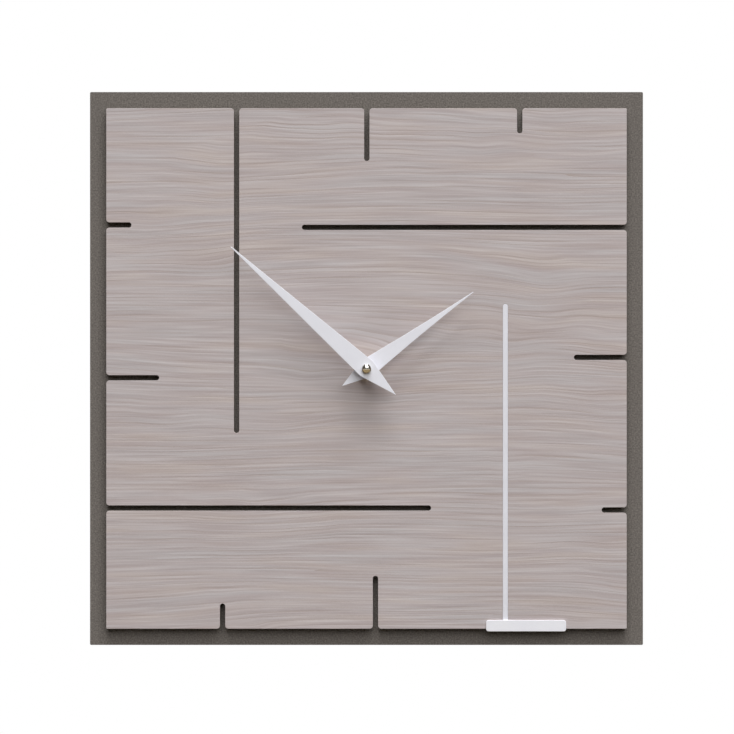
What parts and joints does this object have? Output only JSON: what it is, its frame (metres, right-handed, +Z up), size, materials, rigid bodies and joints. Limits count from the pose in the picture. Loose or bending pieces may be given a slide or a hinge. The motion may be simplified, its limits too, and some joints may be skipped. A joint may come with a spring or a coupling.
{
  "type": "wall clock",
  "caption": "Square wall clock with a slotted wood-veneer dial on a larger painted back board, two plain kite-shaped hands and a battery quartz movement.",
  "frame": {"origin": "on the axis of the hands, in the plane of the wall that the four bumpers rest on", "axes": "+X to the right of the dial, +Z up, -Y out of the dial towards the viewer, +Y into the wall"},
  "size_m": [0.35, 0.0395, 0.35],
  "materials": {
    "taupe_paint": "painted, finely speckled, matte",
    "core_wood": "painted edges",
    "veneer": "bleached grey-pink veneer, matte",
    "white_strip": "satin white",
    "white_plate": "satin white",
    "bumper_rubber": "matte",
    "washer_rubber": "matte",
    "hanger_steel": "zinc plated",
    "screw_steel": "yellow zinc",
    "brass": "turned",
    "cap_metal": "polished, nickel washed",
    "case_plastic": "fine moulded texture",
    "plate_plastic": "moulded",
    "bobbin_plastic": "moulded",
    "gear_plastic": "acetal",
    "gear_brass": "stamped",
    "knob_plastic": "moulded",
    "stator_iron": "annealed",
    "magnet": "sintered",
    "copper_wire": "enamelled copper",
    "circuit_laminate": "solder mask",
    "chip_plastic": "moulded epoxy",
    "crystal_can": "bright can",
    "contact_metal": "nickel plated",
    "cell_steel": "nickel plated",
    "sleeve_plastic": "shrink sleeve",
    "hand_paint": "painted satin white"
  },
  "bodies": {
    "clock_body": {"back_board": "taupe_paint", "front_board": "core_wood", "face_veneer": "veneer", "accent_strip": "white_strip", "blank_nameplate": "white_plate", "wall_bumpers": "bumper_rubber", "hanger_plate": "hanger_steel", "hanger_screws": "screw_steel", "panel_screws": "screw_steel", "rubber_washer": "washer_rubber", "flat_washer": "brass", "hex_nut": "brass", "threaded_bush": "brass", "movement_front_case": "case_plastic", "movement_rear_cover": "case_plastic", "bearing_plate": "plate_plastic", "stator": "stator_iron", "coil_bobbin": "bobbin_plastic", "coil_winding": "copper_wire", "circuit_board": "circuit_laminate", "driver_chip": "chip_plastic", "quartz_crystal": "crystal_can", "battery_contact_negative": "contact_metal", "battery_contact_positive": "contact_metal"},
    "minute_group": {"minute_arbor": "brass", "minute_hand": "hand_paint", "cap_nut": "cap_metal"},
    "hour_group": {"hour_wheel": "gear_plastic", "hour_hand": "hand_paint"},
    "motion_group": {"motion_wheel": "gear_plastic"},
    "knob_group": {"set_knob": "knob_plastic"},
    "seconds_group": {"seconds_wheel": "gear_plastic"},
    "intermediate_group": {"intermediate_wheel": "gear_plastic"},
    "rotor_group": {"rotor_pinion": "gear_plastic", "rotor_magnet": "magnet"},
    "third_group": {"third_wheel": "gear_plastic"},
    "centre_group": {"centre_wheel": "gear_brass"},
    "battery": {"battery_cell": "cell_steel", "battery_sleeve": "sleeve_plastic"}
  },
  "joints": [
    {"name": "minute_turn", "type": "hinge", "parent": "clock_body", "child": "minute_group", "pos_m": [0, -0.02, 0], "axis": [0, 1, 0], "continuous": true},
    {"name": "hour_turn", "type": "hinge", "parent": "clock_body", "child": "hour_group", "pos_m": [0, -0.02, 0], "axis": [0, 1, 0], "continuous": true},
    {"name": "motion_turn", "type": "hinge", "parent": "clock_body", "child": "motion_group", "pos_m": [0.00248, -0.012, 0.00927], "axis": [0, 1, 0], "continuous": true},
    {"name": "knob_turn", "type": "hinge", "parent": "clock_body", "child": "knob_group", "pos_m": [-0.00302, -0.008, 0.01714], "axis": [0, 1, 0], "continuous": true},
    {"name": "seconds_turn", "type": "hinge", "parent": "clock_body", "child": "seconds_group", "pos_m": [0, -0.006, 0], "axis": [0, 1, 0], "continuous": true},
    {"name": "intermediate_turn", "type": "hinge", "parent": "clock_body", "child": "intermediate_group", "pos_m": [0.0036, -0.006, 0.00624], "axis": [0, 1, 0], "continuous": true},
    {"name": "rotor_turn", "type": "hinge", "parent": "clock_body", "child": "rotor_group", "pos_m": [0.00966, -0.005, 0.00974], "axis": [0, 1, 0], "continuous": true},
    {"name": "third_turn", "type": "hinge", "parent": "clock_body", "child": "third_group", "pos_m": [-0.00883, -0.008, 0.0051], "axis": [0, 1, 0], "continuous": true},
    {"name": "centre_turn", "type": "hinge", "parent": "clock_body", "child": "centre_group", "pos_m": [0, -0.01, 0], "axis": [0, 1, 0], "continuous": true},
    {"name": "battery_slide", "type": "slide", "parent": "clock_body", "child": "battery", "axis": [0, 1, 0], "range_m": [0, 0.03]}
  ],
  "couplings": [
    {"joint": "hour_turn", "follows": "minute_turn", "ratio": 0.083333},
    {"joint": "motion_turn", "follows": "minute_turn", "ratio": -0.33333},
    {"joint": "knob_turn", "follows": "minute_turn", "ratio": 1},
    {"joint": "intermediate_turn", "follows": "seconds_turn", "ratio": -5},
    {"joint": "rotor_turn", "follows": "seconds_turn", "ratio": 30},
    {"joint": "third_turn", "follows": "seconds_turn", "ratio": -0.13333},
    {"joint": "centre_turn", "follows": "seconds_turn", "ratio": 0.016667}
  ]
}
